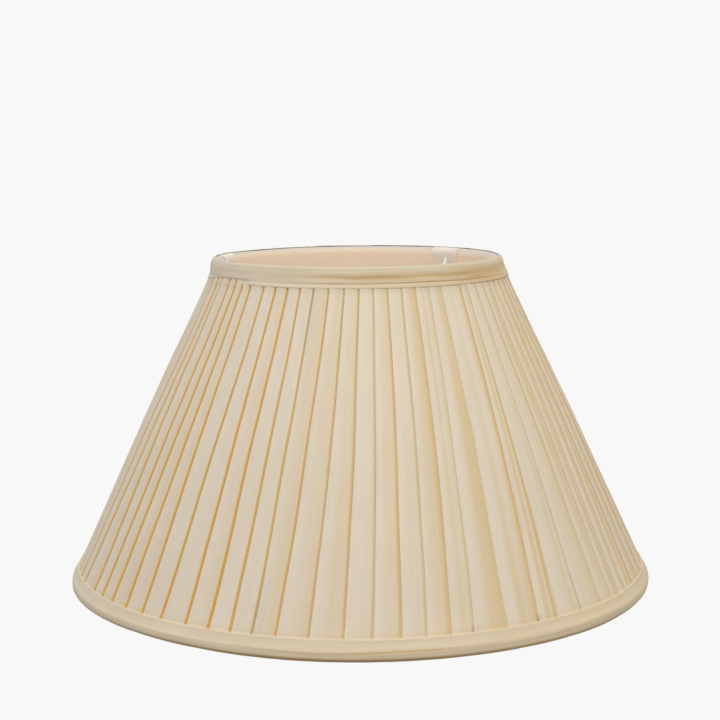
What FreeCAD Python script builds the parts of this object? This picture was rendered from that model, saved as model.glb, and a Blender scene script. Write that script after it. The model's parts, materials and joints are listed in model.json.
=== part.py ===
"""Pleated empire lamp shade: taped wire frame, lining, six pleated panels, bindings and ring fitter.

+Z is up, the origin is the centre of the circle that the shade stands on, and -Y is the front.
Turns round the shade are counted from the front, positive towards +X. Lengths are millimetres.
"""

import FreeCAD, Part
import math
import os

import Sketcher

doc = FreeCAD.newDocument("lamp_shade")

# ---------------------------------------------------------------- driving dimensions
DIMENSIONS = {
    # overall, over the bindings
    "overall_height": 224.0,
    "bottom_diameter": 400.0,
    "top_diameter": 200.0,
    "seat_depth": 0.2,          # how far the lower binding is pressed flat by standing
    # wire frame
    "ring_wire": 3.6,
    "strut_wire": 2.6,
    "strut_count": 6,
    "first_strut_turn": -15.0,
    # layers over the wires, from the inside out
    "tape_thickness": 0.4,
    "lining_thickness": 0.6,
    "cover_thickness": 1.2,
    "trim_thickness": 0.8,
    "lining_seam_turn": 105.0,
    "tuck": 30.0,               # how far cover and bindings roll past the ring, towards the inside
    "bottom_trim_width": 9.0,   # flat part of each binding, along the wall
    "top_trim_width": 12.5,
    # ring fitter
    "arm_wire": 3.0,
    "arm_count": 3,
    "first_arm_turn": 17.0,
    "arm_lean": 22.0,           # lean of the drop, away from the vertical
    "arm_bend": 10.0,
    "arm_inner_end": 23.0,
    "carrier_drop": 38.0,       # from the top of the shade down to the carrier ring
    "carrier_bore": 41.0,
    "carrier_outer": 53.0,
    "carrier_sheet": 1.2,
    "carrier_collar": 5.0,
    # plastic reducer that drops into the carrier ring
    "reducer_bore": 28.8,
    "reducer_plug": 40.4,
    "reducer_lip": 46.0,
    "reducer_sheet": 2.0,
    "reducer_skirt": 4.0,
    # strips of lining folded round the tops of the fitter arms
    "neatener_span": 18.0,
    "neatener_drop": 16.0,
    "neatener_start": 124.0,    # where it leaves the binding, 90 is straight up
}

sheet = doc.addObject("Spreadsheet::Sheet", "sizes")
for row, (alias, number) in enumerate(DIMENSIONS.items(), start=1):
    sheet.set(f"A{row}", alias)
    sheet.set(f"B{row}", str(number))
    sheet.setAlias(f"B{row}", alias)
doc.recompute()

# Expressions over the sheet. The layers' radii, from RING_R to TRIM_R, are about the ring wires.
RING_R = "(sizes.ring_wire / 2)"
TAPE_R = f"({RING_R} + sizes.tape_thickness)"
LINING_R = f"({TAPE_R} + sizes.lining_thickness)"
COVER_R = f"({LINING_R} + sizes.cover_thickness)"
TRIM_R = f"({COVER_R} + sizes.trim_thickness)"
BOTTOM_RING_R = f"(sizes.bottom_diameter / 2 - {TRIM_R})"
TOP_RING_R = f"(sizes.top_diameter / 2 - {TRIM_R})"
BOTTOM_RING_Z = f"({TRIM_R} - sizes.seat_depth)"
TOP_RING_Z = f"(sizes.overall_height - {TRIM_R})"
WALL_RUN = f"({BOTTOM_RING_R} - {TOP_RING_R})"
WALL_RISE = f"({TOP_RING_Z} - {BOTTOM_RING_Z})"
WALL_LENGTH = f"sqrt({WALL_RUN} ^ 2 + {WALL_RISE} ^ 2)"
WALL_LEAN = f"atan({WALL_RUN} / {WALL_RISE})"
CARRIER_Z = "(sizes.overall_height - sizes.carrier_drop)"
ARM_Z = f"({CARRIER_Z} - sizes.carrier_sheet - sizes.arm_wire / 2)"
PANEL_SPAN = "(360 / sizes.strut_count)"


def value(expression):
    """An expression over the sheet, worked out as a plain number."""
    result = sheet.evalExpression(expression)
    return float(getattr(result, "Value", result))


BOTTOM = (value(BOTTOM_RING_R), value(BOTTOM_RING_Z))
TOP = (value(TOP_RING_R), value(TOP_RING_Z))
LEAN = value(WALL_LEAN)

# Sketcher's numbers for the ends and the centre of a piece of geometry, and for the sketch's origin.
START = 1
END = 2
CENTRE = 3
ORIGIN = -1


# ---------------------------------------------------------------- helpers
def turned(turn):
    """Placement that carries a piece drawn along +X to its turn round the shade."""
    return FreeCAD.Placement(FreeCAD.Vector(), FreeCAD.Rotation(FreeCAD.Vector(0, 0, 1), turn - 90))


def polar(centre, radius, degrees):
    angle = math.radians(degrees)
    return (centre[0] + radius * math.cos(angle), centre[1] + radius * math.sin(angle))


def vector(point):
    return FreeCAD.Vector(point[0], point[1], 0)


def add(kind, label, **bound):
    """A Part object with each named property bound to its expression."""
    item = doc.addObject(kind, label)
    item.Label = label
    for name, expression in bound.items():
        item.setExpression(name, expression)
    return item


def cut(label, base, tool, placement=None):
    item = doc.addObject("Part::Cut", label)
    item.Label = label
    item.Base = base
    item.Tool = tool
    if placement:
        item.Placement = placement
    return item


def fuse(label, items):
    item = doc.addObject("Part::MultiFuse", label)
    item.Shapes = items
    return item


def new_sketch(body, name, role):
    """Sketch on one of the body's own origin planes, found by its role."""
    plane = next(item for item in body.Origin.OriginFeatures if item.Role == role)
    sketch = body.newObject("Sketcher::SketchObject", body.Label + name)
    sketch.AttachmentSupport = [(plane, "")]
    sketch.MapMode = "FlatFace"
    return sketch


def constrain(sketch, *arguments, bound_to=None):
    """Add a constraint and, if there is one, bind it to an expression over the sheet."""
    index = sketch.addConstraint(Sketcher.Constraint(*arguments))
    if bound_to:
        sketch.setExpression(f"Constraints[{index}]", bound_to)


def place_point(sketch, item, end, x_bound, z_bound):
    constrain(sketch, "DistanceX", ORIGIN, START, item, end, value(x_bound), bound_to=x_bound)
    constrain(sketch, "DistanceY", ORIGIN, START, item, end, value(z_bound), bound_to=z_bound)


def add_line(sketch, start, end):
    return sketch.addGeometry(Part.LineSegment(vector(start), vector(end)))


def aim(sketch, line, bound_to):
    """Hold a line at its angle above level, which Sketcher keeps between -180 and 180."""
    constrain(sketch, "Angle", line, math.radians(value(bound_to)), bound_to=bound_to)


def ring_arc(sketch, ring, bounds, radius_bound, side, free):
    """Arc about a ring wire from the wall's side, at the angle side, to a free end at free.

    Gives back the arc and the numbers of its wall end and its free end.
    """
    radius = value(radius_bound)
    circle = Part.Circle(vector(ring), FreeCAD.Vector(0, 0, 1), radius)
    low, high = sorted((side, free))
    arc = sketch.addGeometry(Part.ArcOfCircle(circle, math.radians(low), math.radians(high)))
    constrain(sketch, "Radius", arc, radius, bound_to=radius_bound)
    place_point(sketch, arc, CENTRE, *bounds)
    return (arc, END, START) if free < side else (arc, START, END)


def free_edge(sketch, ring, radii, inner_arc, outer_arc, free_bound):
    """Close a skin's free edge with a line square to it, at a bound angle about the ring."""
    angle = value(free_bound)
    edge = add_line(
        sketch, polar(ring, value(radii[0]), angle), polar(ring, value(radii[1]), angle)
    )
    constrain(sketch, "Coincident", inner_arc[0], inner_arc[2], edge, START)
    constrain(sketch, "Coincident", outer_arc[0], outer_arc[2], edge, END)
    constrain(sketch, "PointOnObject", inner_arc[0], CENTRE, edge)
    aim(sketch, edge, free_bound)


RING_BOUNDS = {"bottom": (BOTTOM_RING_R, BOTTOM_RING_Z), "top": (TOP_RING_R, TOP_RING_Z)}
RING_PLACE = {"bottom": BOTTOM, "top": TOP}


def full_skin_section(body, radii, side, ends):
    """Section of a skin along the whole wall that rolls round both rings.

    side is the angle of the wall's face, and ends holds each free end's turned angle and expression.
    """
    sketch = new_sketch(body, "_section", "XZ_Plane")
    arcs = {}
    for place, (arc_side, free, _) in ends.items():
        for radius in radii:
            ring = RING_PLACE[place]
            arcs[place, radius] = ring_arc(sketch, ring, RING_BOUNDS[place], radius, arc_side, free)
    for radius in radii:
        low, high = (polar(RING_PLACE[place], value(radius), side) for place in ("bottom", "top"))
        wall = add_line(sketch, low, high)
        constrain(sketch, "Tangent", arcs["bottom", radius][0], arcs["bottom", radius][1], wall, START)
        constrain(sketch, "Tangent", arcs["top", radius][0], arcs["top", radius][1], wall, END)
    for place, (_, _, free_bound) in ends.items():
        inner, outer = (arcs[place, radius] for radius in radii)
        free_edge(sketch, RING_PLACE[place], radii, inner, outer, free_bound)
    return sketch


def edge_skin_section(body, radii, place, side, free, free_bound, width_bound):
    """Section of a strip rolled round one ring, with a flat part of the given width on the wall."""
    sketch = new_sketch(body, "_section", "XZ_Plane")
    ring = RING_PLACE[place]
    along = 90 + LEAN if place == "bottom" else LEAN - 90
    along_bound = f"{WALL_LEAN} + 90 deg" if place == "bottom" else f"{WALL_LEAN} - 90 deg"
    width = value(width_bound)
    arcs = []
    walls = []
    for radius in radii:
        arc = ring_arc(sketch, ring, RING_BOUNDS[place], radius, side, free)
        start = polar(ring, value(radius), side)
        wall = add_line(sketch, start, polar(start, width, along))
        constrain(sketch, "Tangent", arc[0], arc[1], wall, START)
        arcs.append(arc)
        walls.append(wall)
    aim(sketch, walls[0], along_bound)
    constrain(sketch, "Distance", walls[0], width, bound_to=width_bound)
    ends = [polar(polar(ring, value(radius), side), width, along) for radius in radii]
    edge = add_line(sketch, *ends)
    constrain(sketch, "Coincident", walls[0], END, edge, START)
    constrain(sketch, "Coincident", walls[1], END, edge, END)
    constrain(sketch, "Perpendicular", walls[0], edge)
    free_edge(sketch, ring, radii, arcs[0], arcs[1], free_bound)
    return sketch


def corner_section(body, corners):
    """Section with straight sides, each corner a pair of expressions for radius and height."""
    sketch = new_sketch(body, "_section", "XZ_Plane")
    points = [(value(x), value(z)) for x, z in corners]
    sides = [add_line(sketch, *pair) for pair in zip(points, points[1:] + points[:1])]
    for index, side in enumerate(sides):
        constrain(sketch, "Coincident", side, END, sides[(index + 1) % len(sides)], START)
        place_point(sketch, side, START, *corners[index])
    return sketch


def revolve(body, sketch, span_bound="360"):
    """Turn a section about the shade's axis, evenly to both sides of it."""
    revolution = body.newObject("PartDesign::Revolution", body.Label + "_turning")
    revolution.Profile = sketch
    revolution.ReferenceAxis = (sketch, ["V_Axis"])
    revolution.Midplane = True
    revolution.setExpression("Angle", span_bound)
    return body


nodes = []


def keep(item):
    """List an object as one of the shade's pieces."""
    nodes.append(item)
    return item


# ---------------------------------------------------------------- wire frame
def make_ring(place):
    ring = add("Part::Torus", f"{place}_ring", Radius1=RING_BOUNDS[place][0], Radius2=RING_R)
    ring.setExpression(".Placement.Base.z", RING_BOUNDS[place][1])
    return keep(ring)


rings = {place: make_ring(place) for place in ("top", "bottom")}
both_rings = fuse("both_rings", list(rings.values()))


def make_strut(number):
    """Straight wire from ring to ring, coped where it meets them."""
    wire = add("Part::Cylinder", f"strut_wire_{number}", Radius="sizes.strut_wire / 2", Height=WALL_LENGTH)
    direction = FreeCAD.Vector(TOP[0] - BOTTOM[0], 0, TOP[1] - BOTTOM[1])
    rotation = FreeCAD.Rotation(FreeCAD.Vector(0, 0, 1), direction)
    wire.Placement = FreeCAD.Placement(FreeCAD.Vector(BOTTOM[0], 0, BOTTOM[1]), rotation)
    turn = value("sizes.first_strut_turn") + (number - 1) * value(PANEL_SPAN)
    return keep(cut(f"strut_{number}", wire, both_rings, turned(turn)))


struts = [make_strut(number + 1) for number in range(int(value("sizes.strut_count")))]


# ---------------------------------------------------------------- ring fitter
def make_carrier_ring():
    """Pressed ring with a flat flange and a short collar round its bore."""
    body = doc.addObject("PartDesign::Body", "carrier_ring")
    bore = "sizes.carrier_bore / 2"
    wall = f"({bore} + sizes.carrier_sheet)"
    under = f"({CARRIER_Z} - sizes.carrier_sheet)"
    foot = f"({CARRIER_Z} - sizes.carrier_collar)"
    rim = "sizes.carrier_outer / 2"
    corners = [
        (bore, foot), (wall, foot), (wall, under),
        (rim, under), (rim, CARRIER_Z), (bore, CARRIER_Z),
    ]
    return keep(revolve(body, corner_section(body, corners)))


carrier_ring = make_carrier_ring()


def make_arm_wire(number):
    """Wire that runs out from under the carrier ring, bends, and rises to the top ring."""
    body = doc.addObject("PartDesign::Body", f"arm_wire_{number}")
    lean = value("sizes.arm_lean")
    level = value(ARM_Z)
    bend = value("sizes.arm_bend")
    inner_end = (value("sizes.arm_inner_end"), level)
    corner = (TOP[0] - (TOP[1] - level) * math.tan(math.radians(lean)), level)
    trim = bend * math.tan(math.radians(90 - lean) / 2)
    run_end = (corner[0] - trim, level)
    centre = (run_end[0], level + bend)
    rise_start = polar(corner, trim, 90 - lean)

    spine = new_sketch(body, "_spine", "XZ_Plane")
    run = add_line(spine, inner_end, run_end)
    circle = Part.Circle(vector(centre), FreeCAD.Vector(0, 0, 1), bend)
    turn_arc = spine.addGeometry(
        Part.ArcOfCircle(circle, math.radians(-90), math.radians(-lean))
    )
    rise = add_line(spine, rise_start, TOP)
    constrain(spine, "Tangent", run, END, turn_arc, START)
    constrain(spine, "Tangent", turn_arc, END, rise, START)
    constrain(spine, "Horizontal", run)
    constrain(spine, "Radius", turn_arc, bend, bound_to="sizes.arm_bend")
    place_point(spine, run, START, "sizes.arm_inner_end", ARM_Z)
    place_point(spine, rise, END, TOP_RING_R, TOP_RING_Z)
    aim(spine, rise, "90 - sizes.arm_lean")

    section = new_sketch(body, "_section", "YZ_Plane")
    section.setExpression(".AttachmentOffset.Base.z", "sizes.arm_inner_end")
    circle = Part.Circle(vector((0, level)), FreeCAD.Vector(0, 0, 1), value("sizes.arm_wire / 2"))
    outline = section.addGeometry(circle)
    constrain(section, "Radius", outline, value("sizes.arm_wire / 2"), bound_to="sizes.arm_wire / 2")
    constrain(section, "PointOnObject", outline, CENTRE, -2)
    constrain(section, "DistanceY", ORIGIN, START, outline, CENTRE, level, bound_to=ARM_Z)

    pipe = body.newObject("PartDesign::AdditivePipe", body.Label + "_pipe")
    pipe.Profile = section
    pipe.Spine = (spine, [])
    return body


arm_wires = [make_arm_wire(number + 1) for number in range(int(value("sizes.arm_count")))]
arm_turns = [
    value("sizes.first_arm_turn") + number * 360 / len(arm_wires) for number in range(len(arm_wires))
]
arms = [
    keep(cut(f"fitter_arm_{number + 1}", wire, rings["top"], turned(turn)))
    for number, (wire, turn) in enumerate(zip(arm_wires, arm_turns))
]
arm_set = fuse("arm_set", arms)


# ---------------------------------------------------------------- tape and lining
def make_tape(place, crossing):
    """Tape wound round a ring, open where the wires of the frame meet the ring."""
    wound = add("Part::Torus", f"{place}_wound", Radius1=RING_BOUNDS[place][0], Radius2=TAPE_R)
    wound.setExpression(".Placement.Base.z", RING_BOUNDS[place][1])
    wires = fuse(f"{place}_wires", [rings[place], *crossing])
    return keep(cut(f"{place}_ring_tape", wound, wires))


make_tape("top", struts + arms)
make_tape("bottom", struts)


def make_lining(label, turn):
    """Half of the lining: inside the struts, over both rings to the outer face."""
    body = doc.addObject("PartDesign::Body", label + "_cloth")
    side = LEAN + 180
    ends = {"bottom": (side - 360, LEAN, WALL_LEAN), "top": (side, LEAN, WALL_LEAN)}
    revolve(body, full_skin_section(body, (TAPE_R, LINING_R), side, ends), "180")
    body.Placement = turned(turn)
    return keep(cut(label, body, arm_set))


seam = value("sizes.lining_seam_turn")
make_lining("lining_front", seam - 90)
make_lining("lining_back", seam + 90)

LINING_STRIP_R = f"({LINING_R} + sizes.lining_thickness)"


def make_neatener(number):
    """Strip of lining over the ring's inner side, slit round a fitter arm."""
    body = doc.addObject("PartDesign::Body", f"neatener_strip_{number}")
    radii = (LINING_R, LINING_STRIP_R)
    start = "sizes.neatener_start"
    side = LEAN + 180
    section = edge_skin_section(body, radii, "top", side, value(start), start, "sizes.neatener_drop")
    revolve(body, section, "sizes.neatener_span")
    keep(cut(f"neatener_{number}", body, arm_wires[number - 1], turned(arm_turns[number - 1])))


for arm_number in range(1, len(arms) + 1):
    make_neatener(arm_number)


# ---------------------------------------------------------------- pleated cover and bindings
def make_panel(number):
    """One panel of the pleated cover, from strut to strut, as a plain thick skin."""
    body = doc.addObject("PartDesign::Body", f"pleat_panel_{number}")
    roll = value("90 + sizes.tuck")
    ends = {
        "bottom": (LEAN, -roll, "-90 - sizes.tuck"),
        "top": (LEAN, roll, "90 + sizes.tuck"),
    }
    revolve(body, full_skin_section(body, (LINING_R, COVER_R), LEAN, ends), PANEL_SPAN)
    middle = value("sizes.first_strut_turn") + (number - 0.5) * value(PANEL_SPAN)
    body.Placement = turned(middle)
    keep(body)


for panel_number in range(1, len(struts) + 1):
    make_panel(panel_number)


def make_trim(label, place, sign, width):
    """Binding rolled over a ring and along the cover, its flat width measured on the wall."""
    body = doc.addObject("PartDesign::Body", label)
    free_bound = f"{sign} * (90 + sizes.tuck)"
    section = edge_skin_section(
        body, (COVER_R, TRIM_R), place, LEAN, value(free_bound), free_bound, width
    )
    return revolve(body, section)


keep(make_trim("top_trim", "top", 1, "sizes.top_trim_width"))

# The seat: everything below the standing plane is pressed away.
floor = add("Part::Cylinder", "standing_floor", Radius="sizes.bottom_diameter", Height=TRIM_R)
floor.setExpression(".Placement.Base.z", f"-{TRIM_R}")
hem_binding = make_trim("hem_binding", "bottom", -1, "sizes.bottom_trim_width")
keep(cut("bottom_trim", hem_binding, floor))


# ---------------------------------------------------------------- reducer
def make_reducer():
    """Plastic ring whose lip rests on the carrier ring and whose skirt centres it in the bore."""
    body = doc.addObject("PartDesign::Body", "reducer_ring")
    bore = "sizes.reducer_bore / 2"
    plug = "sizes.reducer_plug / 2"
    skirt_wall = f"({plug} - sizes.reducer_sheet)"
    top = f"({CARRIER_Z} + sizes.reducer_sheet)"
    foot = f"({CARRIER_Z} - sizes.reducer_skirt)"
    rim = "sizes.reducer_lip / 2"
    corners = [
        (bore, CARRIER_Z), (skirt_wall, CARRIER_Z), (skirt_wall, foot), (plug, foot),
        (plug, CARRIER_Z), (rim, CARRIER_Z), (rim, top), (bore, top),
    ]
    keep(revolve(body, corner_section(body, corners)))


make_reducer()

# ---------------------------------------------------------------- check and write
doc.recompute()
for item in doc.Objects:
    if "Invalid" in item.State or "Error" in item.State:
        raise RuntimeError(f"{item.Label} failed: {item.State}")
labels = [node.Label for node in nodes]
if len(set(labels)) != len(labels):
    raise RuntimeError("two pieces share a name")
for node in nodes:
    if node.Shape.isNull() or not node.Shape.isValid() or node.Shape.Volume <= 0:
        raise RuntimeError(f"{node.Label} has no valid solid")
os.makedirs("parts", exist_ok=True)
for node in nodes:
    node.Shape.exportStep(f"parts/{node.Label}.step")
    print(f"{node.Label}: {len(node.Shape.Solids)} solid, {node.Shape.Volume:.1f} mm3")
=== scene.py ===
"""Looks of the pleated lamp shade: folded cover, creased bindings, lining, neateners and materials.

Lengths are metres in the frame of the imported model. Turns round the shade are degrees counted from
the front, positive towards +X; a side is a turn between -180 and 180. A climb is a distance up the
wall from the bottom ring: below zero a skin rolls under the bottom ring, and past WALL it rolls
over the top ring.
"""

import json
import math
import random

import bpy
from mathutils import Matrix, Vector, noise


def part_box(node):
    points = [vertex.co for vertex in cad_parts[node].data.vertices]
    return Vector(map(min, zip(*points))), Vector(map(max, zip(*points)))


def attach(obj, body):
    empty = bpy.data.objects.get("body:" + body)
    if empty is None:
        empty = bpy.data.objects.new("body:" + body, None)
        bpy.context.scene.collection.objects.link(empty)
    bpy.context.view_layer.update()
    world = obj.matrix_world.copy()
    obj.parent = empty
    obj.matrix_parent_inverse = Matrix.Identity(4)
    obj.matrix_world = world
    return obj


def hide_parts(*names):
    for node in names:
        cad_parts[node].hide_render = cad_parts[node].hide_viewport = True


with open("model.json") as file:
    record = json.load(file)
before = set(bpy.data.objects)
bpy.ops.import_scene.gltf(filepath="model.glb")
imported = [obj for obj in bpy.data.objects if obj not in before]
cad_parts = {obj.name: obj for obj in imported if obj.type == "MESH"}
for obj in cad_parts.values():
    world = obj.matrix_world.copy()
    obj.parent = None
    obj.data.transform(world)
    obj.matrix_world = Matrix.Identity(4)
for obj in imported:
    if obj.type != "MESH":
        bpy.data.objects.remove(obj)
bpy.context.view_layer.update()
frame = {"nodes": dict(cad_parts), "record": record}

MM = 0.001

# ---------------------------------------------------------------- the frame that the cloth hangs on


def ring_centre(node):
    """Radius and height of the centre line of a ring's wire."""
    low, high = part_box(node)
    wire = (high.z - low.z) / 2
    return (high.x - low.x) / 2 - wire, (high.z + low.z) / 2


BOTTOM_R, BOTTOM_Z = ring_centre("bottom_ring")
TOP_R, TOP_Z = ring_centre("top_ring")
WALL = math.hypot(BOTTOM_R - TOP_R, TOP_Z - BOTTOM_Z)
LEAN = math.atan2(BOTTOM_R - TOP_R, TOP_Z - BOTTOM_Z)
ROLL = 4.4 * MM     # radius that turns a climb past a ring into an angle round its wire
OUTSIDE = 1
INSIDE = -1


def share_up(climb):
    """0 at the bottom ring, to 1 at the top ring."""
    return min(max(climb / WALL, 0), 1)


def wall_radius(climb):
    return BOTTOM_R + (TOP_R - BOTTOM_R) * share_up(climb)


def point_round(turn, radius, height):
    around = math.radians(turn)
    return Vector((radius * math.sin(around), -radius * math.cos(around), height))


def skin(turn, climb, stand, side=OUTSIDE, roll=ROLL):
    """A point that stands off the wall's centre line, or off a ring's wire where the skin rolls."""
    past = climb - WALL if climb > WALL else min(climb, 0)
    angle = LEAN + (math.pi if side == INSIDE else 0) + side * past / roll
    height = BOTTOM_Z + (TOP_Z - BOTTOM_Z) * share_up(climb)
    return point_round(
        turn, wall_radius(climb) + stand * math.cos(angle), height + stand * math.sin(angle)
    )


def signed_turn(turn):
    """The same turn, between -180 and 180."""
    return (turn + 180) % 360 - 180


# ---------------------------------------------------------------- curves and noise


def smooth(low, high, x):
    """0 up to low, 1 from high on, and a smooth step between; the two may be in either order."""
    t = min(max((x - low) / (high - low), 0), 1)
    return t * t * (3 - 2 * t)


def bump(centre, width, x):
    """A smooth hill of height 1 and half-width width."""
    return math.exp(-(((x - centre) / width) ** 2))


def along(knots, x):
    """Value at x of the smooth curve through (x, value) knots."""
    x = min(max(x, knots[0][0]), knots[-1][0])
    for (x0, y0), (x1, y1) in zip(knots, knots[1:]):
        if x <= x1:
            return y0 + (y1 - y0) * smooth(x0, x1, x)
    return knots[-1][1]


def blend(a, b, share):
    return a + (b - a) * share


def spread(low, high, count):
    return [low + (high - low) * i / (count - 1) for i in range(count)]


def wander(seed, x, y=0.0):
    """Smooth noise between about -1 and 1."""
    return 2 * noise.noise(Vector((x, y, seed * 7.31)))


def turn_noise(seed, turn, frequency, y=0.0):
    """Smooth noise that closes round the shade; frequency is waves a radian."""
    around = math.radians(turn)
    spot = Vector((frequency * math.cos(around), frequency * math.sin(around), y + seed * 5.17))
    return 2 * noise.noise(spot)


# ---------------------------------------------------------------- mesh pieces


def cloth_piece(name, rows, flat_uv, tints, thickness, closed=False):
    """A sheet from rows of points; closed joins the last row to the first.

    flat_uv holds each point's place on the flat cloth, in metres, and tints the named attributes.
    """
    columns = len(rows[0])
    mesh = bpy.data.meshes.new(name)
    points = [point for row in rows for point in row]
    steps = len(rows) if closed else len(rows) - 1
    faces = []
    for r in range(steps):
        here = r * columns
        there = (r + 1) % len(rows) * columns
        faces += [(here + c, here + c + 1, there + c + 1, there + c) for c in range(columns - 1)]
    mesh.from_pydata(points, [], faces)
    mesh.polygons.foreach_set("use_smooth", [True] * len(faces))
    layer = mesh.uv_layers.new(name="cloth")
    for polygon in mesh.polygons:
        wraps = closed and polygon.index >= (steps - 1) * (columns - 1)
        for loop in polygon.loop_indices:
            vertex = mesh.loops[loop].vertex_index
            u, v = flat_uv[vertex]
            if wraps and vertex < columns:
                u = flat_uv[len(points) - columns][0] + flat_uv[columns][0]
            layer.data[loop].uv = (u, v)
    for tint, values in tints.items():
        attribute = mesh.attributes.new(tint, "FLOAT", "POINT")
        attribute.data.foreach_set("value", values)
    piece = bpy.data.objects.new(name, mesh)
    bpy.context.scene.collection.objects.link(piece)
    solid = piece.modifiers.new("cloth thickness", "SOLIDIFY")
    solid.thickness = thickness
    solid.offset = -1
    solid.use_even_offset = False
    return piece


def settle(piece, material, slot, *nodes):
    """Give a piece its material and its place on the shade's body, in place of CAD nodes."""
    piece.data.materials.append(material)
    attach(piece, "shade")
    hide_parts(*nodes)


# ---------------------------------------------------------------- materials


def add_node(tree, kind, settings=None, **inputs):
    """Add a node. An input is a value or another node's output; i3 stands for input number 3."""
    node = tree.nodes.new("ShaderNode" + kind)
    for name, value in (settings or {}).items():
        setattr(node, name, value)
    for name, value in inputs.items():
        socket = node.inputs[int(name[1:]) if name[0] == "i" and name[1:].isdigit() else name]
        if isinstance(value, bpy.types.NodeSocket):
            tree.links.new(value, socket)
        else:
            socket.default_value = value
    return node


def mix_colours(tree, factor, a, b):
    return add_node(tree, "Mix", {"data_type": "RGBA"}, i0=factor, i6=a, i7=b).outputs[2]


def map_range(tree, value, low, high, to_low=0.0, to_high=1.0):
    return add_node(tree, "MapRange", i0=value, i1=low, i2=high, i3=to_low, i4=to_high).outputs[0]


class Shader:
    """A cloth, metal or plastic material, built up around one Principled shader."""

    def __init__(self, name, **constants):
        self.material = bpy.data.materials.new(name)
        self.material.use_nodes = True
        self.tree = self.material.node_tree
        self.principled = self.tree.nodes["Principled BSDF"]
        for socket, value in constants.items():
            self.principled.inputs[socket.replace("_", " ")].default_value = value

    def add(self, kind, settings=None, **inputs):
        return add_node(self.tree, kind, settings, **inputs)

    def math(self, operation, a, b):
        return self.add("Math", {"operation": operation}, i0=a, i1=b).outputs[0]

    def mix(self, factor, a, b):
        return mix_colours(self.tree, factor, a, b)

    def ramp(self, value, *stops):
        """Colour ramp; each stop is (place, colour)."""
        node = self.add("ValToRGB", i0=value)
        stripe = node.color_ramp
        while len(stripe.elements) < len(stops):
            stripe.elements.new(1)
        for element, (place, colour) in zip(stripe.elements, stops):
            element.position = place
            element.color = colour
        return node.outputs["Color"]

    def flat_noise(self, across, along, detail=2.0, roughness=0.5):
        """Noise over the flat cloth, with features across and along metres in size."""
        place = self.add("UVMap", {"uv_map": "cloth"}).outputs["UV"]
        scale = (1 / across, 1 / along, 1)
        place = self.add("Mapping", Vector=place, Scale=scale).outputs["Vector"]
        texture = self.add("TexNoise", Vector=place, Scale=1.0, Detail=detail, Roughness=roughness)
        return texture.outputs["Fac"]

    def weave(self, pitch, share):
        """Height of a plain weave over the flat cloth: warp and weft threads of one pitch."""
        place = self.add("UVMap", {"uv_map": "cloth"}).outputs["UV"]
        bands = []
        for axis in ("X", "Y"):
            wave = self.add(
                "TexWave", {"wave_type": "BANDS", "bands_direction": axis},
                Vector=place, Scale=math.pi / (10 * pitch), Distortion=0.0,
            )
            bands.append(wave.outputs["Fac"])
        return self.math("MULTIPLY", self.math("MULTIPLY", bands[0], bands[1]), share)

    def attribute(self, name):
        return self.add("Attribute", {"attribute_name": name}).outputs["Fac"]

    def bumped(self, height, strength, distance):
        node = self.add("Bump", Height=height, Strength=strength, Distance=distance)
        self.tree.links.new(node.outputs["Normal"], self.principled.inputs["Normal"])

    def coloured(self, colour):
        self.tree.links.new(colour, self.principled.inputs["Base Color"])


def rgb(red, green, blue):
    """A linear colour from a colour as it is seen, each part from 0 to 255."""
    return (*[((c / 255 + 0.055) / 1.055) ** 2.4 for c in (red, green, blue)], 1.0)


# Grey painted into the silk as shade, along the panels' seams and over the bindings.
SHADE_GREY = rgb(170, 161, 133)
GOLDEN = 0.4        # the crevice_shade value at which silk is all painted golden shade, on its way to painted amber at 1


def silk(name, pale, deep, gold, amber_brown):
    """Satin cloth with slubs along the thread and a fine weave.

    Painted shade and reflected light: crevice_shade turns it golden in hollows and amber in gaps,
    and grey_shade turns it grey, as shade.
    """
    shader = Shader(
        name, Roughness=0.52, Sheen_Weight=0.2, Sheen_Roughness=0.45, Specular_IOR_Level=0.35
    )
    streaks = shader.flat_noise(1.1 * MM, 70 * MM, detail=3.0, roughness=0.6)
    clouds = shader.flat_noise(16 * MM, 45 * MM)
    mixed = shader.math(
        "ADD", shader.math("MULTIPLY", streaks, 0.6), shader.math("MULTIPLY", clouds, 0.4)
    )
    colour = shader.ramp(mixed, (0.36, deep), (0.64, pale))
    crevice_shade = shader.attribute("crevice_shade")
    for low, high, tint in ((0.0, GOLDEN, gold), (GOLDEN, 1.0, amber_brown)):
        colour = shader.mix(map_range(shader.tree, crevice_shade, low, high), colour, tint)
    shader.coloured(shader.mix(shader.attribute("grey_shade"), colour, SHADE_GREY))
    threads = shader.math("ADD", shader.weave(0.45 * MM, 0.35), streaks)
    shader.bumped(threads, 0.12, 0.2 * MM)
    return shader.material


# The last two colours of each silk are painted: golden shade in hollows, then amber light reflected
# in the cover's gaps and dark brown shade in the bindings' creases.
COVER = silk(
    "cover silk", rgb(233, 221, 204), rgb(227, 213, 193), rgb(221, 197, 152), rgb(221, 166, 62)
)
BINDING = silk(
    "binding silk", rgb(243, 230, 207), rgb(235, 218, 192), rgb(212, 175, 117), rgb(182, 128, 62)
)


def lining_cloth(name, thin, thick, edge):
    """Pale lining with faint streaks of its own thread; the attribute edge paints in the edge
    colour, a painted shade.
    """
    shader = Shader(name, Roughness=0.6, Sheen_Weight=0.15, Specular_IOR_Level=0.3)
    streaks = shader.flat_noise(1.6 * MM, 60 * MM, detail=3.0)
    colour = shader.ramp(streaks, (0.3, thin), (0.7, thick))
    shader.coloured(shader.mix(shader.attribute("edge"), colour, edge))
    shader.bumped(shader.math("ADD", shader.weave(0.4 * MM, 0.4), streaks), 0.05, 0.1 * MM)
    return shader.material


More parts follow.
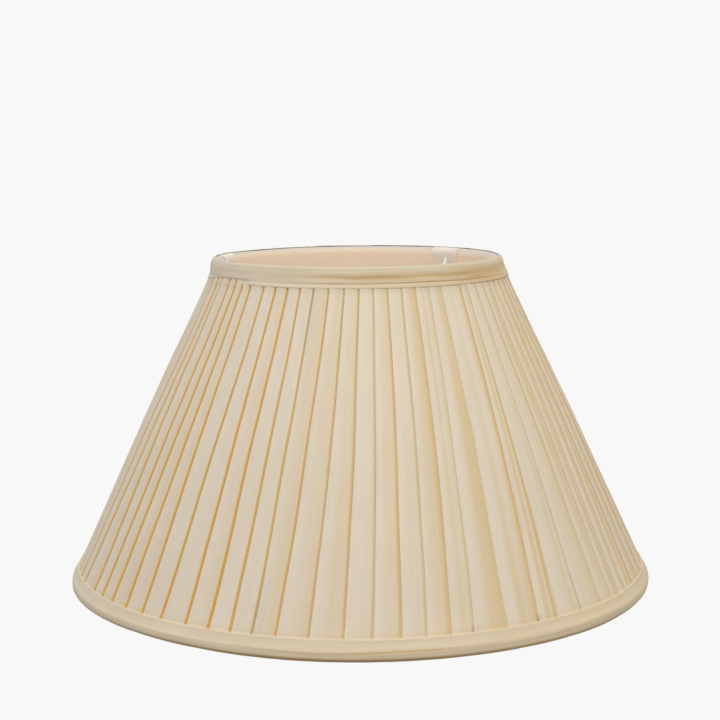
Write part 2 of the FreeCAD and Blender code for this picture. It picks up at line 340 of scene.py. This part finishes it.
# The edge colour is painted shade: grey on the lining's rim over the ring, golden in the creases of
# the neateners.
LINING = lining_cloth("lining cloth", rgb(238, 218, 195), rgb(242, 223, 201), rgb(208, 201, 190))
NEATENING = lining_cloth(
    "neatening cloth", rgb(229, 219, 210), rgb(235, 227, 220), rgb(236, 206, 168)
)


def object_noise(shader, size, detail=3.0):
    place = shader.add("TexCoord").outputs["Object"]
    return shader.add("TexNoise", Vector=place, Scale=1 / size, Detail=detail).outputs["Fac"]


def painted_metal():
    """White baked paint: faint orange peel and slightly uneven gloss."""
    shader = Shader("white painted metal", Roughness=0.38, Specular_IOR_Level=0.5)
    peel = object_noise(shader, 1.1 * MM)
    shader.coloured(shader.ramp(peel, (0.3, rgb(231, 232, 233)), (0.7, rgb(237, 238, 238))))
    shader.bumped(peel, 0.06, 0.05 * MM)
    return shader.material


def moulded_plastic():
    """White moulded plastic with a fine spark-eroded grain."""
    shader = Shader("white moulded plastic", Roughness=0.48, Specular_IOR_Level=0.45)
    grain = object_noise(shader, 0.5 * MM, 2.0)
    shader.coloured(shader.ramp(grain, (0.3, rgb(236, 235, 230)), (0.7, rgb(244, 243, 239))))
    shader.bumped(grain, 0.25, 0.04 * MM)
    return shader.material


def woven_tape():
    """Unbleached cotton tape."""
    shader = Shader("cotton tape", Roughness=0.85, Sheen_Weight=0.2)
    fibres = object_noise(shader, 0.6 * MM)
    shader.coloured(shader.ramp(fibres, (0.3, rgb(216, 205, 184)), (0.7, rgb(234, 225, 207))))
    shader.bumped(fibres, 0.4, 0.1 * MM)
    return shader.material


# ---------------------------------------------------------------- pleated cover

PANELS = 6
PLEATS = 12         # in each panel
COUNT = PANELS * PLEATS
PITCH = 360 / COUNT
FIRST_STRUT = -15.0
FOLD_TWIST = 4.0    # how far a fold leans round the shade from hem to top
# How far the folds at the front stray from even spacing, (fold's number, degrees), at the top and
# at the hem: closer and wider by turns at the left, and one wide pleat at the right.
TOP_STRAY = (
    (-10, 0), (-9, -1.5), (-8, 0), (-5, -2), (-4, -0.5), (0, -0.5), (2, 0.5), (9, 1), (10, 5),
    (11, 3), (17, 0),
)
HEM_STRAY = (
    (-10, 0), (-9, 1.5), (-7, 0), (-4, 0), (-3, 1), (-2, 1), (1, -1), (3, 1), (5, 1), (7, 0),
    (8, -1), (10, 2.5), (11, 2), (13, 5), (17, 0),
)
STRAY = 0.6         # the most that any other fold strays, at random
# How far the folds' edges stand off the struts' line, (climb, stand) in millimetres: pressed in by
# the bindings at both ends, and bowed out between them.
CREST_LINE = (
    (-10, 3.2), (0, 3.4), (20, 3.2), (60, 3.45), (120, 3.75), (150, 3.35), (190, 2.6), (223, 2.45),
    (226.3, 3.0), (228, 2.8), (231, 2.68), (237, 3.1), (245, 3.3),
)
# What single folds are like, by their place round the shade: how strongly amber light, reflected
# from silk to silk, is painted into the gap beside the fold, how high the fold's edge stands above
# it, and how wide it is at the hem, both in millimetres.
AMBER_LINE = (
    (-180, 0.5), (-110, 0.8), (-80, 1), (-32, 1), (8, 0.34), (28, 0.18), (60, 0.1), (110, 0.3),
    (180, 0.5),
)
STEP_LINE = (
    (-180, 1.0), (-110, 0.9), (-75, 0.6), (-35, 1.3), (-8, 1.0), (14, 0.52), (32, 0.24), (85, 0.22),
    (180, 1.0),
)
GAP_LINE = ((-180, 3.4), (-110, 4.0), (-70, 6.0), (-35, 3.6), (-8, 2.8), (30, 3.2), (180, 3.4))
GAP_AT_TOP = 0.62       # width of a gap at the top, as a share of its width at the hem
WIDEST_GAP = 0.42       # the most that a gap takes up of its pleat, as a share of its width
KNOTS = (8, 10)     # folds painted with a small grey spot at the hem
COVER_CLOTH = 0.22 * MM         # its thickness
HIDDEN = (7.5 * MM, 6.5 * MM)   # depth of cloth turned under a fold, at the hem and at the top
BURIED = 0.75 * MM      # how far the layers turned under stay below a fold's edge, at least
HELD = 25 * MM          # how far from a ring its binding still holds the folds down
HEM_TUCK = -6 * MM      # how far the cover rolls under the hem, and over the top
TOP_TUCK = 3 * MM


def fold_turn(number, climb):
    """Turn of a fold's edge at a climb."""
    whole = number % COUNT
    signed = whole if whole < COUNT / 2 else whole - COUNT
    if TOP_STRAY[0][0] < signed < TOP_STRAY[-1][0]:
        top, hem = along(TOP_STRAY, signed), along(HEM_STRAY, signed)
    else:
        draw = random.Random(whole)
        top, hem = draw.uniform(-STRAY, STRAY), draw.uniform(-STRAY, STRAY)
    up = share_up(climb)
    nominal = FIRST_STRUT + number * PITCH - FOLD_TWIST * (1 - up)
    return nominal + top * up + hem * (1 - up) + 0.12 * wander(whole, climb * 14)


def fold_place(number):
    """Where a fold lies round the shade: its turn between -180 and 180."""
    return signed_turn(FIRST_STRUT + number * PITCH)


def softness(number):
    """0 where the pleats are crisp, at the left, to 1 where they lie loosely, at the right."""
    turn = fold_place(number)
    return blend(smooth(-40, 38, turn), 0.4, smooth(100, 180, abs(turn)))


def amber(number):
    """How strongly the gap under a fold glows with light reflected from silk to silk."""
    return along(AMBER_LINE, fold_place(number))


def fold_step(number):
    """How far a fold's edge stands above the cloth beside it, in millimetres."""
    return along(STEP_LINE, fold_place(number))


def freedom(climb):
    """0 where the bindings hold the folds down, to 1 along the middle of the wall."""
    return smooth(0, HELD, climb) * smooth(0, HELD, WALL - climb)


def crest_stand(number, climb):
    """How far a fold's edge stands off the struts' line; the rim draws it in at the right."""
    drawn_in = 0.5 * bump(88, 30, fold_place(number)) * smooth(226 * MM, 236 * MM, climb)
    uneven = 0.2 * freedom(climb) * wander(number % COUNT + 100, climb * 9)
    return (along(CREST_LINE, climb / MM) + uneven - drawn_in) * MM


def seam_grey_shade(number, climb):
    """How grey a fold is painted: as shade at the ends of a panel's edge, where its strut lies
    behind it, and in a small spot at the hem.
    """
    whole = number % COUNT
    if whole in KNOTS:
        return 0.7 * smooth(14 * MM, 11 * MM, climb)
    if whole % PLEATS:
        return 0
    near_top = smooth(WALL - 75 * MM, WALL - 15 * MM, climb)
    return 0.75 * (1 - 0.8 * softness(number)) * max(near_top, smooth(55 * MM, 15 * MM, climb))


def shadow_beside_binding(number, climb):
    """Painted shade: a golden line of shade on the cover beside each binding's edge, at the top only
    where the lip shows.
    """
    side = fold_place(number)
    lip = smooth(-60, -40, side) * smooth(178, 145, side)
    line = 0.1 * lip * bump(WALL - 10.2 * MM, 1.2 * MM, climb)
    return line + 0.12 * bump(10.4 * MM, 0.9 * MM, climb)


def pleat_columns(number, climb):
    """Points of one pleat across the cloth, from its inner fold to the next.

    Each is (turn, stand, crevice_shade, grey_shade): first the layer turned under, then the fold's
    rounded edge, then the face, which dips into the gap beside the next fold and runs on under it.
    crevice_shade is painted shade and amber light reflected in the gap, grey_shade painted grey
    shade.
    """
    whole = number % COUNT
    up = share_up(climb)
    radius = wall_radius(climb)
    start = fold_turn(number, climb)
    end = fold_turn(number + 1, climb)
    width = math.radians(end - start) * radius
    hidden = blend(*HIDDEN, up)
    free = freedom(climb)
    soft = softness(number)
    crest, next_crest = (crest_stand(n, climb) for n in (number, number + 1))
    step, next_step = (fold_step(n) * MM * (0.7 + 0.3 * free) for n in (number, number + 1))
    ridge_height = 0.22 * MM * soft * (0.7 + 0.3 * free)
    deep, next_deep = max(0.98 * step, BURIED), max(next_step, BURIED)
    bead = min(blend(0.4, 0.15, soft) * MM, 0.45 * step)
    # face_shade_scale: how strongly painted shade falls on this pleat's face, drawn at random.
    face_shade_scale = random.Random(whole + 500).uniform(0.3, 1.7)
    start_shade, end_shade = amber(number), amber(number + 1)
    start_seam, end_seam = (seam_grey_shade(n, climb) for n in (number, number + 1))
    # Painted light: faces towards the right painted more golden, as the light falls on them there.
    golden = 0.2 * bump(57, 14, fold_place(number))
    binding_shadow = shadow_beside_binding(number, climb)

    def at(distance, stand, crevice_shade, grey_shade):
        return start + math.degrees(distance / radius), stand, crevice_shade, grey_shade

    columns = [
        at(hidden, crest - deep, start_shade, start_seam),
        at(hidden * 0.5, crest - 0.94 * deep, start_shade, start_seam),
        at(2.2 * bead, crest - 2.1 * bead, start_shade, start_seam),
    ]
    # The fold's rounded edge takes painted shade and painted grey on its underside.
    for angle in (-90, -130, -165, 160, 125, 90):
        place = math.radians(angle)
        under = smooth(0.1, -0.9, math.sin(place))
        columns.append(at(
            bead * (1 + math.cos(place)), crest - bead + bead * math.sin(place),
            0.8 * start_shade * under, start_seam * under,
        ))
    gap_at_hem = along(GAP_LINE, fold_place(number + 1))
    gap = min(WIDEST_GAP, gap_at_hem * (GAP_AT_TOP + (1 - GAP_AT_TOP) * (1 - up)) * MM / width)
    bed = next_crest - next_step
    shares = spread(0.07, 1 - gap * 1.12, 9) + [1 - gap * (1 - k / 9) for k in range(10)]
    for share in shares:
        ridge = ridge_height * (math.exp(-((width * share / (1.3 * MM)) ** 2)) - 1)
        crown = blend(0.22, 0.1, soft) * MM * math.sin(math.pi * share ** 0.8)
        uneven = 0.1 * MM * free * wander(whole + 200, climb * 20, share * 2)
        gathers = 0.07 * MM * soft * wander(whole + 400, climb * 4, share * 6)
        dip = smooth(1 - gap, 1.02, share)
        face = blend(crest, next_crest, share) - blend(0.3, 0.1, soft) * MM * share
        face += ridge + crown + uneven + gathers
        # Painted light: amber light reflected from silk to silk in the gap.
        glow = end_shade * smooth(0.04, 0.5, dip)
        streaked = 1 + 0.9 * soft * wander(whole + 300, climb * 3, share * 5)
        # Painted shade on the face, growing from its fold towards the gap, with the golden painted
        # light.
        plain = (blend(0.12, 0.2, soft) * face_shade_scale + golden) * streaked * smooth(0.05, 0.75, share)
        # Painted grey shade along a panel's seam.
        seam_shade = end_seam * smooth(0.2, 0.8, dip) + 0.25 * start_seam * smooth(0.5, 0.1, share)
        columns.append(at(
            width * share, face * (1 - dip) + bed * dip,
            min(max(plain, 0) + glow + binding_shadow, 1), seam_shade,
        ))
    for share, drop in ((0.25, 0.22), (0.85, 0.3), (1.03, 0.1)):
        stand = next_crest - next_deep - drop * MM
        columns.append(at(width + hidden * share, stand, end_shade, end_seam))
    return columns


def pleat_panel(number):
    """One panel of the cover: a single cloth, folded into pleats, from first fold to last."""
    first = (number - 1) * PLEATS
    folds = range(first, first + PLEATS)
    end = 22 * MM       # rows are closer this near to a ring
    climbs = (
        spread(HEM_TUCK, 0, 5)[:-1] + spread(0, end, 16)[:-1] + spread(end, WALL - end, 38)
        + spread(WALL - end, WALL, 16)[1:] + spread(WALL, WALL + TOP_TUCK, 3)[1:]
    )
    flat_places = [0.0]
    halfway = WALL / 2
    middle = [
        skin(turn, halfway, stand)
        for fold in folds for turn, stand, _, _ in pleat_columns(fold, halfway)
    ]
    for here, there in zip(middle, middle[1:]):
        flat_places.append(flat_places[-1] + (there - here).length)
    rows = []
    flat = []
    crevice_shade = []
    grey_shade = []
    for climb in climbs:
        columns = [column for fold in folds for column in pleat_columns(fold, climb)]
        rows.append([skin(turn, climb, stand) for turn, stand, _, _ in columns])
        flat += [(place, climb) for place in flat_places]
        crevice_shade += [column[2] for column in columns]
        grey_shade += [column[3] for column in columns]
    tints = {"crevice_shade": crevice_shade, "grey_shade": grey_shade}
    panel = cloth_piece(f"pleated_cloth_{number}", rows, flat, tints, COVER_CLOTH)
    settle(panel, COVER, "pleated_cover", f"pleat_panel_{number}")
    width = sum(
        math.radians(fold_turn(fold + 1, 0) - fold_turn(fold, 0)) * BOTTOM_R for fold in folds
    )


for panel_number in range(1, PANELS + 1):
    pleat_panel(panel_number)


# ---------------------------------------------------------------- bindings

STEPS_ROUND = 540
BINDING_CLOTH = 0.3 * MM
RESTING = 0.1 * MM      # how near the lower binding comes to the plane that the shade stands on


def path(knots, step):
    """Points about a step apart along the smooth curve through knots, and how far along they are."""
    padded = [knots[0], *knots, knots[-1]]
    points = []
    for a, b, c, d in zip(padded, padded[1:], padded[2:], padded[3:]):
        count = max(2, round(math.dist(b, c) / step))
        for i in range(count):
            t = i / count
            points.append(tuple(
                0.5 * (2 * q + (r - p) * t + (2 * p - 5 * q + 4 * r - s) * t * t
                       + (3 * q - 3 * r + s - p) * t ** 3)
                for p, q, r, s in zip(a, b, c, d)
            ))
    points.append(knots[-1])
    distance = [0.0]
    for here, there in zip(points, points[1:]):
        distance.append(distance[-1] + math.dist(here, there))
    return points, distance


def binding(name, node, knots, centre, relief):
    """A strip round a ring, the given width besides its turned edge.

    knots is its section, in millimetres from the ring's centre line, from its turned edge on the
    wall to its far edge. relief(turn, distance along the section) gives a lift off the section, a
    shift outwards and a rise, all in millimetres, then a crevice_shade tint of painted shade and how
    much painted grey_shade the silk takes.
    """
    section, distance = path(knots, 0.4)
    outwards = math.copysign(1, knots[0][1] - knots[1][1])
    rows = []
    flat = []
    crevice_shade = []
    grey_shade_values = []
    radius, height = centre
    for step in range(STEPS_ROUND):
        turn = 360 * step / STEPS_ROUND
        row = []
        for i, (out, up) in enumerate(section):
            before = section[max(i - 1, 0)]
            after = section[min(i + 1, len(section) - 1)]
            length = math.dist(before, after)
            lift, shift, rise, depth, grey_shade = relief(turn, distance[i])
            across = ((after[1] - before[1]) / length, (before[0] - after[0]) / length)
            r = radius + (out + shift + lift * across[0] * outwards) * MM
            z = max(height + (up + rise + lift * across[1] * outwards) * MM, RESTING)
            row.append(point_round(turn, r, z))
            flat.append((distance[i] * MM, math.radians(turn) * radius))
            crevice_shade.append(depth)
            grey_shade_values.append(grey_shade)
        rows.append(row)
    tints = {"crevice_shade": crevice_shade, "grey_shade": grey_shade_values}
    strip = cloth_piece(name, rows, flat, tints, BINDING_CLOTH, closed=True)
    if outwards < 0:
        strip.data.flip_normals()
    settle(strip, BINDING, "binding_cloth", node)


def rear_dip(side):
    """How far the rim sags at the back, in millimetres."""
    behind = 0.15 * smooth(100, 150, abs(side)) + 0.35 * bump(180, 30, abs(side))
    return behind + 0.6 * bump(-130, 26, side)


LIP_CREASE = 4.2        # where the crease and the hollow run, in millimetres along the section
LIP_HOLLOW = 8.2


def top_relief(turn, s):
    """Upper binding: a lip under a sharp crease, a soft hollow above it, and pulls in the satin.

    The crease is sharpest at the front. At the left the lip is tucked away behind the rest, and at
    the right end the whole rim is narrower. Painted shade darkens the turned edge, the crease, the
    hollow and the pulls, with a golden band at the front; the rim is painted warmer towards the
    right, as the light falls there; and the grey_shade is taken off the band about 6 mm up the
    section, a painted light, and laid on over the top of the rim, a painted shade.
    """
    side = signed_turn(turn)
    behind = 0.5 * smooth(0.1, 0.8, turn_noise(2, turn, 2)) * smooth(80, 110, abs(side))
    sharp = max(smooth(-45, -8, side) * smooth(66, 34, side), behind)
    s += 0.3 * turn_noise(3, turn, 3)
    crease = (0.1 + 0.9 * sharp) * bump(LIP_CREASE, 0.42, s)
    hollow = (0.1 + 0.9 * sharp) * bump(LIP_HOLLOW + 0.4 * turn_noise(4, turn, 4), 1.2, s)
    upper = 0.5 * smooth(-0.3, 0.6, turn_noise(7, turn, 5)) * bump(12.0, 0.8, s)
    ripple = turn_noise(5, turn, 7, s * 0.3) + 0.5 * turn_noise(6, turn, 30, s * 0.12)
    lift = 0.1 * ripple - 0.27 * crease - 0.2 * hollow - 0.12 * upper + 0.12 * bump(2.4, 1.0, s)
    turned = smooth(0.9, 0.1, s)
    # Painted light: warmer towards the right, as the light falls there, less so over the top of the
    # rim.
    warm = 0.03 + 0.1 * smooth(-30, 25, side) * smooth(178, 90, side)
    warm += 0.16 * smooth(26, 56, side) * smooth(120, 85, side)
    warm *= 1 - 0.8 * smooth(11.0, 13.2, s)
    # Painted shade: a golden band at the front, beside the hollow.
    gold = 0.14 * bump(3, 13, side) * bump(9.2, 2.0, s)
    # Painted shade on the turned edge, in the crease, the hollow and under the upper pull.
    tint = 0.2 * turned + 0.34 * crease + 0.2 * hollow + 0.1 * upper + warm + gold
    # Painted light and shade in grey_shade: lighter on the band about 6 mm up, where it faces down,
    # greyer over the top of the rim.
    grey_shade = max(0, 0.2 - 0.24 * bump(6.2, 2.6, s)) + 0.3 * smooth(11.4, 13.4, s)
    last = 4.6 * smooth(-88, -52, side)
    tucked = 1 - smooth(-60, -40, side)
    hidden = 2.0 * tucked * smooth(last + 0.7, last - 0.7, s) * smooth(0.5, 2, last)
    narrower = bump(88, 30, side) * (1.2 * smooth(4.2, 6.5, s) + 0.3 * smooth(7.0, 9.5, s))
    rise = -rear_dip(side) * smooth(8, 12, s)
    return lift * smooth(0, 2, s), -hidden - narrower, rise, min(1, tint), grey_shade


def bottom_relief(turn, s):
    """Lower binding: a soft hollow under the ring's level, with painted shade in the hollow, on the
    turned edge and in a darker band under the hem, and painted warmth growing towards the right.
    """
    side = signed_turn(turn)
    front = bump(-8, 34, side)
    strength = (0.25 + 0.75 * front) * (0.75 + 0.25 * turn_noise(13, turn, 3))
    hollow = strength * bump(9.4 + 0.5 * turn_noise(12, turn, 3), 0.8, s)
    ripple = turn_noise(15, turn, 9, s * 0.2) + 0.4 * turn_noise(16, turn, 40, s * 0.09)
    swell = 0.15 + 0.35 * bump(48, 22, side)
    lift = 0.08 * ripple - 0.3 * hollow + 0.1 * bump(1.5, 0.8, s) + swell * smooth(4, 9, s)
    turned = smooth(0.9, 0.1, s)
    rise = (1.2 * bump(-42, 25, side) + 0.15 * bump(40, 22, side)) * smooth(6, 12, s)
    # Painted light: a little warmer towards the right, as the light falls there.
    warm = 0.06 + 0.05 * smooth(-30, 60, side) * smooth(178, 90, side)
    # Painted shade: a darker band under the hem.
    edge = (0.3 + 0.35 * front) * smooth(12.0, 13.4, s) * smooth(18.5, 16.5, s)
    tint = 0.35 * turned + 0.35 * hollow + edge + warm
    return lift * smooth(0, 2, s), 0, rise, min(1, tint), 0.2


TOP_SECTION = (
    (5.9, -7.6), (6.75, -8.35), (6.9, -8.1), (6.1, -6.2), (5.9, -5.4), (5.75, -2.8), (5.3, 0),
    (4.8, 2.0), (3.9, 3.7), (2.7, 4.5), (1.9, 4.7),
)
BOTTOM_SECTION = (
    (-0.8, 8.6), (-0.2, 9.1), (0.1, 8.7), (1.9, 5.4), (3.85, 1.9), (4.15, 0), (4.1, -1.6),
    (3.3, -2.8), (2.2, -3.5), (0.6, -4.1), (-0.8, -4.5), (-2.2, -4.2), (-3.0, -3.1),
)
binding("top_binding", "top_trim", TOP_SECTION, (TOP_R, TOP_Z), top_relief)
binding(
    "bottom_binding", "bottom_trim", BOTTOM_SECTION, (BOTTOM_R, BOTTOM_Z), bottom_relief
)

# ---------------------------------------------------------------- lining and neateners

LINING_CLOTH = 0.2 * MM
LINING_STAND = 2.5 * MM
LINING_TUCK = 8 * MM    # how far it rolls under the bottom ring
# Section of the lining over the rim, in millimetres from the ring's centre line.
RIM_SECTION = ((-2.55, -1.2), (-2.6, 1.0), (-1.9, 2.8), (-0.4, 3.9), (1.2, 4.35), (2.6, 4.2))


def lining_half(name, node, seam_turn):
    """Half of the lining, drawn tight from ring to ring, with its edge turned over the rim."""
    over, distance = path(RIM_SECTION, 0.8)
    rows = []
    flat = []
    edge = []
    for turn in spread(seam_turn - 180, seam_turn, 241):
        along_seam = math.radians(turn - seam_turn) * BOTTOM_R
        row = []
        for climb in spread(-LINING_TUCK, 0, 7)[:-1] + spread(0, WALL, 40)[:-1]:
            near_end = bump(0, 30 * MM, climb) + bump(WALL, 25 * MM, climb)
            inside = smooth(0, 10 * MM, climb) * smooth(0, 10 * MM, WALL - climb)
            pucker = 0.12 * near_end * turn_noise(21, turn, 45)
            pucker += 0.4 * turn_noise(22, turn, 6, climb * 5)
            stand = LINING_STAND + inside * (0.6 + pucker) * MM
            row.append(skin(turn, climb, stand, INSIDE, LINING_STAND))
            flat.append((along_seam, climb))
            edge.append(0.0)
        for (out, up), s in zip(over, distance):
            dip = rear_dip(signed_turn(turn)) * smooth(2, 6, s)
            row.append(point_round(turn, TOP_R + out * MM, TOP_Z + (up - dip) * MM))
            flat.append((along_seam, WALL + s * MM))
            # Painted shade: the rim over the ring is painted grey.
            edge.append(smooth(2.6, 4.6, s))
        rows.append(row)
    half = cloth_piece(name, rows, flat, {"edge": edge}, LINING_CLOTH)
    settle(half, LINING, "lining_cloth", node)


LINING_SEAM = 105.0
lining_half("lining_cloth_front", "lining_front", LINING_SEAM)
lining_half("lining_cloth_back", "lining_back", LINING_SEAM + 180)

FIRST_ARM = 17.0
ARMS = 3
NEATENER_DROP = 16 * MM
NEATENER_OVER = 7 * MM      # how far it goes on over the rim
NEATENER_TOP = 12 * MM      # half its width at the rim, and at its foot
NEATENER_FOOT = 3.2 * MM
NEATENER_STAND = 3.1 * MM


def neatener(number):
    """Strip of lining over the rim at a fitter arm, gathered into folds towards its foot."""
    arm_turn = FIRST_ARM + (number - 1) * 360 / ARMS
    rows = []
    flat = []
    crease_shade = []
    for down in spread(-NEATENER_OVER, NEATENER_DROP, 22):
        row = []
        share = min(max(down / NEATENER_DROP, 0), 1)
        half = NEATENER_TOP + (NEATENER_FOOT - NEATENER_TOP) * share ** 0.8
        for across in spread(-1, 1, 61):
            folds = math.cos(across * 4.5 * math.pi + 0.4 * wander(number + 30, across * 3, share))
            gathered = 0.15 + 0.85 * smooth(0, 0.8, share)
            stand = NEATENER_STAND + (0.4 * folds * gathered + 0.3 * (1 - across ** 2)) * MM
            stand += 0.22 * max(-down - 1.5 * MM, 0)
            turn = arm_turn + math.degrees(half * across / TOP_R)
            row.append(skin(turn, WALL - down, stand, INSIDE, 3.2 * MM))
            flat.append((NEATENER_TOP * across, down))
            # Painted shade: golden in the hollows of the gathers.
            crease_shade.append(gathered * smooth(0.1, -0.9, folds))
        rows.append(row)
    strip = cloth_piece(f"neatener_cloth_{number}", rows, flat, {"edge": crease_shade}, LINING_CLOTH)
    settle(strip, NEATENING, "lining_cloth", f"neatener_{number}")


for arm_number in range(1, ARMS + 1):
    neatener(arm_number)

# ---------------------------------------------------------------- metal, tape and plastic nodes

NODE_MATERIALS = {
    "frame_wire": painted_metal(),
    "ring_tape": woven_tape(),
    "reducer_plastic": moulded_plastic(),
}
NODE_MATERIALS["fitter_metal"] = NODE_MATERIALS["frame_wire"]
for subpart in frame["record"]["subparts"]:
    material = NODE_MATERIALS.get(subpart["material_slot"])
    if material:
        data = frame["nodes"][subpart["node"]].data
        data.materials.clear()
        data.materials.append(material)

# ---------------------------------------------------------------- camera, stage and light

STUDIO_WHITE = rgb(248, 248, 248)


def make_camera():
    """Camera a little above the rim, level but for a slight roll, as the fitted outline says."""
    camera = bpy.data.objects.new("camera", bpy.data.cameras.new("camera"))
    bpy.context.scene.collection.objects.link(camera)
    camera.data.sensor_width = 36
    camera.data.lens = 82.1
    yaw = Matrix.Rotation(math.radians(-0.04), 4, "Z")
    pitch = Matrix.Rotation(math.radians(90 - 8.14), 4, "X")
    roll = Matrix.Rotation(math.radians(-0.4), 4, "Z")
    camera.matrix_world = Matrix.Translation((0, -1.1239, 0.3121)) @ yaw @ pitch @ roll
    bpy.context.scene.camera = camera


def glow(tree, lit):
    """A strength of 1 where the camera sees it, and of lit where it lights the object."""
    path = add_node(tree, "LightPath")
    return map_range(tree, path.outputs["Is Camera Ray"], 0.0, 1.0, lit, 1.0)


SURROUNDING_LIGHT = 0.68
NEUTRAL = (1.0, 1.0, 1.0, 1.0)
WARM = (1.0, 0.94, 0.80, 1.0)


def make_world():
    """White surroundings; their light is neutral from the left and warm from the right."""
    world = bpy.data.worlds.new("studio")
    world.use_nodes = True
    bpy.context.scene.world = world
    tree = world.node_tree
    background = tree.nodes["Background"]
    place = add_node(tree, "TexCoord").outputs["Generated"]
    sideways = add_node(tree, "SeparateXYZ", Vector=place).outputs["X"]
    tint = mix_colours(tree, map_range(tree, sideways, -0.5, 1.0), NEUTRAL, WARM)
    seen = add_node(tree, "LightPath").outputs["Is Camera Ray"]
    colour = mix_colours(tree, seen, tint, STUDIO_WHITE)
    tree.links.new(colour, background.inputs["Color"])
    tree.links.new(glow(tree, SURROUNDING_LIGHT), background.inputs["Strength"])


FLOOR_HALF = 60
LIGHT_UNDER_SHADE = 0.95
LIGHT_OF_FLOOR = 0.36


def make_floor():
    """Plain pale floor; under the shade it also returns the light that comes through the cloth."""
    mesh = bpy.data.meshes.new("studio_floor")
    h = FLOOR_HALF
    mesh.from_pydata([(-h, -h, 0), (h, -h, 0), (h, h, 0), (-h, h, 0)], [], [(0, 1, 2, 3)])
    floor = bpy.data.objects.new("studio_floor", mesh)
    bpy.context.scene.collection.objects.link(floor)
    material = bpy.data.materials.new("studio floor")
    material.use_nodes = True
    tree = material.node_tree
    tree.nodes.clear()
    place = add_node(tree, "TexCoord").outputs["Object"]
    reach = add_node(tree, "VectorMath", {"operation": "LENGTH"}, i0=place).outputs["Value"]
    under = map_range(
        tree, reach, BOTTOM_R - 0.03, BOTTOM_R - 0.01, LIGHT_UNDER_SHADE, LIGHT_OF_FLOOR
    )
    emission = add_node(tree, "Emission", Color=STUDIO_WHITE, Strength=glow(tree, under))
    add_node(tree, "OutputMaterial", Surface=emission.outputs["Emission"])
    mesh.materials.append(material)


def area_light(name, place, size, energy, colour):
    """A round light, aimed at the middle of the shade."""
    light = bpy.data.lights.new(name, "AREA")
    light.shape = "DISK"
    light.size = size
    light.energy = energy
    light.color = colour
    lamp = bpy.data.objects.new(name, light)
    bpy.context.scene.collection.objects.link(lamp)
    lamp.location = place
    aim = Vector((0, 0, 0.1)) - Vector(place)
    lamp.rotation_euler = aim.to_track_quat("-Z", "Y").to_euler()


make_camera()
make_world()
make_floor()
area_light("key", (0.25, -1.0, 1.15), 0.7, 5.6, (1.0, 0.99, 0.97))
area_light("top", (0.1, 0.1, 1.6), 0.8, 5, (1.0, 0.97, 0.94))
area_light("left", (-1.3, -0.45, 0.6), 0.9, 0.8, (1.0, 1.0, 1.0))
bpy.context.scene.view_settings.view_transform = "Standard"
